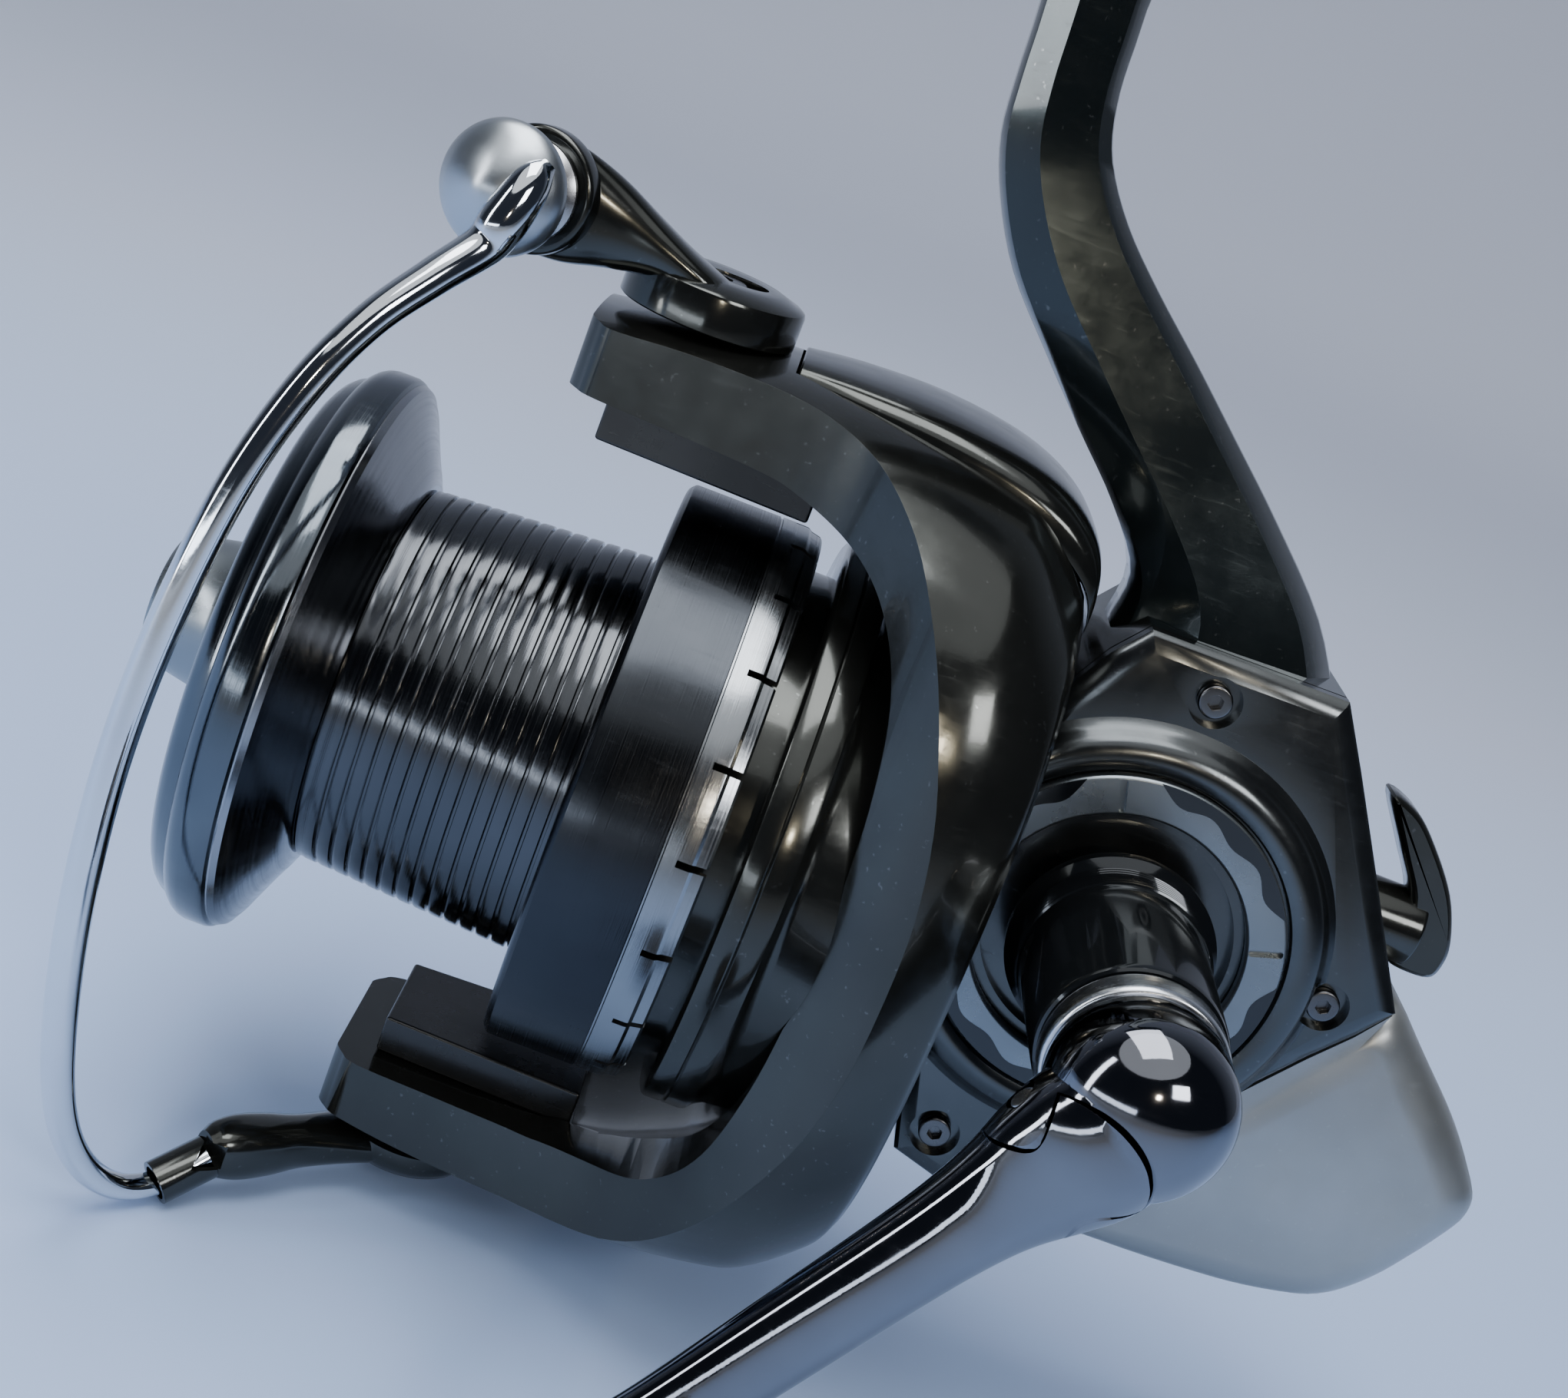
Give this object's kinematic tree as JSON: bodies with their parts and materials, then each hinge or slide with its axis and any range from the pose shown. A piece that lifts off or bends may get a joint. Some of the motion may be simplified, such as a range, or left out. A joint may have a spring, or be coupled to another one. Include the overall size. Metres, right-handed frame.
{
  "type": "fishing reel",
  "caption": "Long-cast spinning reel with a deep turned spool, C-frame rotor, chrome bail, folding crank and tall curved stem.",
  "frame": {"origin": "middle of the foot's flat seating face", "axes": "+Z out of the seating face (up to the rod), +X to the rear of the reel along the spool axis, -Y to the crank side"},
  "size_m": [0.178, 0.1392, 0.1834],
  "materials": {
    "gunmetal_paint": "high gloss metallic",
    "black_gloss": "gloss",
    "turned_alloy": "dark anodised, fine turning marks",
    "bright_alloy": "polished turning",
    "dark_chrome": "smoked mirror",
    "chrome": "mirror",
    "satin_silver": "satin",
    "grey_satin": "satin",
    "steel": "plain",
    "brass": "machined",
    "black_plastic": "matte",
    "soft_grip": "soft touch",
    "felt": "pressed felt"
  },
  "bodies": {
    "reel": {"gear_case": "gunmetal_paint", "side_plate": "gunmetal_paint", "trim_ring": "grey_satin", "case_screw_top": "steel", "case_screw_rear": "steel", "case_screw_front": "steel", "rear_guard": "satin_silver", "rear_guard_screw": "steel", "drive_bearing_near": "steel", "drive_bearing_far": "steel", "pinion_bearing": "steel", "roller_clutch": "steel", "guide_rod": "steel", "far_side_cap": "gunmetal_paint", "trip_ramp": "black_plastic"},
    "crank": {"drive_gear": "brass", "drive_shaft": "steel", "handle_collar": "black_gloss", "handle_ring": "bright_alloy", "crank_knuckle": "dark_chrome", "fold_pin": "steel"},
    "handle": {"crank_arm": "dark_chrome", "knob_axle": "steel"},
    "knob": {"knob_grip": "soft_grip", "knob_cap": "bright_alloy"},
    "rotor": {"rotor": "gunmetal_paint", "upper_arm_cover": "gunmetal_paint", "lower_arm_cover": "gunmetal_paint", "upper_inner_plate": "black_plastic", "lower_inner_plate": "black_plastic", "pinion_gear": "brass", "clutch_sleeve": "steel", "rotor_nut": "steel", "bail_pivot_screw_upper": "steel", "bail_pivot_screw_lower": "steel", "bail_spring": "steel"},
    "trip": {"trip_lever": "black_gloss"},
    "bail": {"bail_wire": "chrome", "roller_cap": "chrome", "bail_arm": "gunmetal_paint", "bail_lever": "gunmetal_paint", "roller_bush": "brass", "roller_screw": "steel"},
    "roller": {"line_roller": "bright_alloy"},
    "shaft": {"main_shaft": "steel", "slider_block": "bright_alloy", "spool_seat": "brass"},
    "spool": {"spool": "turned_alloy", "spool_lip": "bright_alloy", "drag_disc_felt_1": "felt", "drag_disc_steel_1": "steel", "drag_disc_felt_2": "felt", "drag_disc_steel_2": "steel"},
    "drag": {"drag_knob": "black_gloss", "drag_nut": "brass", "drag_spring": "steel"},
    "worm": {"oscillation_worm": "brass", "oscillation_gear": "brass"},
    "lever": {"anti_reverse_lever": "gunmetal_paint"}
  },
  "joints": [
    {"name": "crank_spin", "type": "hinge", "parent": "reel", "child": "crank", "pos_m": [0.041, 0, -0.1123], "axis": [0, 1, 0], "continuous": true},
    {"name": "handle_fold", "type": "hinge", "parent": "crank", "child": "handle", "pos_m": [0.03583, -0.057, -0.11967], "axis": [0.8189, 0, -0.5739], "range_deg": [0, 24]},
    {"name": "knob_spin", "type": "hinge", "parent": "handle", "child": "knob", "pos_m": [0.00232, -0.0676, -0.16749], "axis": [0, -1, 0], "continuous": true},
    {"name": "rotor_spin", "type": "hinge", "parent": "reel", "child": "rotor", "pos_m": [-0.003, 0, -0.12], "axis": [1, 0, 0], "continuous": true},
    {"name": "bail_flip", "type": "hinge", "parent": "rotor", "child": "bail", "pos_m": [-0.028, 0, -0.12], "axis": [0, 0, -1], "range_deg": [0, 100]},
    {"name": "trip_tilt", "type": "hinge", "parent": "rotor", "child": "trip", "pos_m": [0.014, 0, -0.09], "axis": [0, 1, 0], "range_deg": [0, 12]},
    {"name": "line_roller_spin", "type": "hinge", "parent": "bail", "child": "roller", "pos_m": [-0.0509, -0.0142, -0.0568], "axis": [-0.2599, -0.9656, 0], "continuous": true},
    {"name": "spool_oscillation", "type": "slide", "parent": "reel", "child": "shaft", "axis": [1, 0, 0], "range_m": [-0.026, 0]},
    {"name": "spool_spin", "type": "hinge", "parent": "shaft", "child": "spool", "pos_m": [-0.037, 0, -0.12], "axis": [1, 0, 0], "continuous": true},
    {"name": "drag_knob_turn", "type": "hinge", "parent": "shaft", "child": "drag", "pos_m": [-0.063, 0, -0.12], "axis": [1, 0, 0], "range_deg": [-720, 0]},
    {"name": "worm_spin", "type": "hinge", "parent": "reel", "child": "worm", "pos_m": [0.049, 0.0026, -0.1315], "axis": [1, 0, 0], "continuous": true},
    {"name": "anti_reverse_turn", "type": "hinge", "parent": "reel", "child": "lever", "pos_m": [0.075, 0, -0.103], "axis": [1, 0, 0], "range_deg": [0, 45]}
  ],
  "couplings": [
    {"joint": "rotor_spin", "follows": "crank_spin", "ratio": -4.6},
    {"joint": "worm_spin", "follows": "crank_spin", "ratio": 3.5385},
    {"joint": "trip_tilt", "follows": "bail_flip", "ratio": 0.12}
  ]
}
